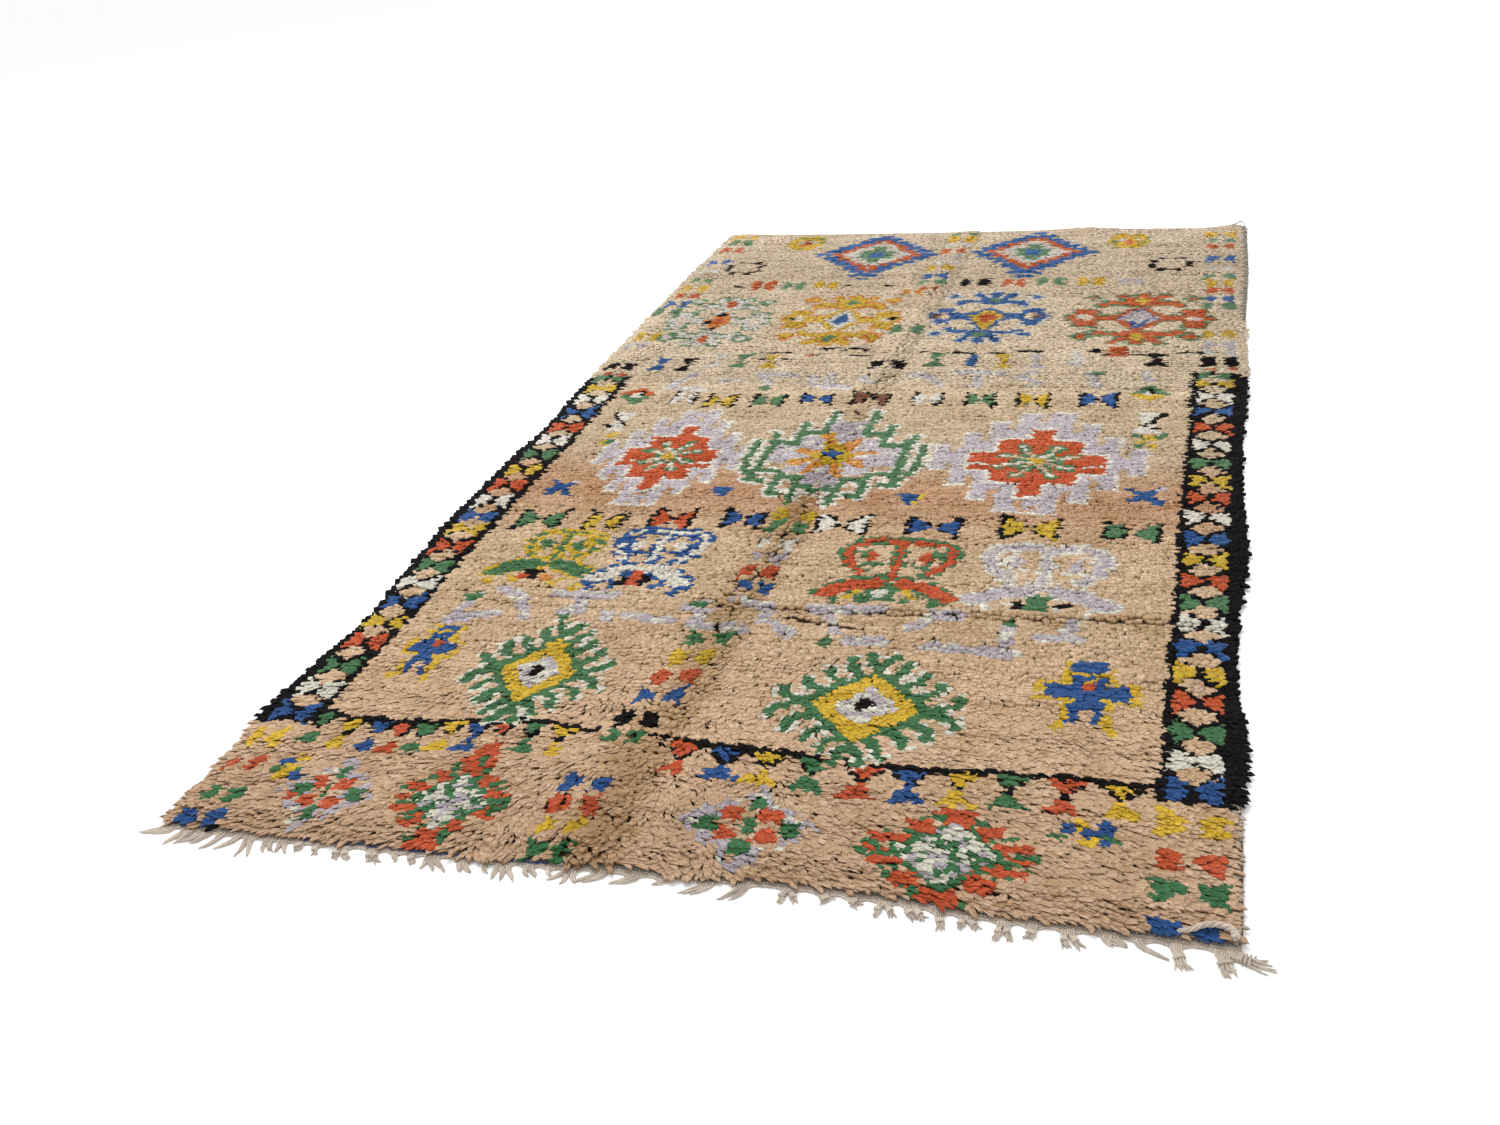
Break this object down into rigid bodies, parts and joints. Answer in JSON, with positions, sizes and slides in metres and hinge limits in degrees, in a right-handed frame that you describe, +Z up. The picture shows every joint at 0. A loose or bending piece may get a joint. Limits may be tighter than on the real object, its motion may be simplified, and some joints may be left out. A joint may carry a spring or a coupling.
{
  "type": "moroccan berber rug",
  "caption": "Long hand-knotted wool pile rug lying flat, with stepped medallion motifs, bow-tie borders and a knotted warp fringe at one end.",
  "frame": {"origin": "middle of the rug's whole box, at the floor", "axes": "+Y along the rug, from its fringed end to its plain end; +X across it; +Z up out of the pile"},
  "size_m": [1.6158, 3.0564, 0.0299],
  "materials": {
    "pile_wool": "matte hand-spun wool pile in rows of locks, peach to beige, with dyed motifs",
    "warp_cotton": "matte raw cotton warp, plied and knotted"
  },
  "bodies": {
    "root": {"rug_body": "pile_wool", "near_fringe": "warp_cotton", "corner_cord": "warp_cotton", "far_tuft": "warp_cotton"}
  },
  "joints": []
}
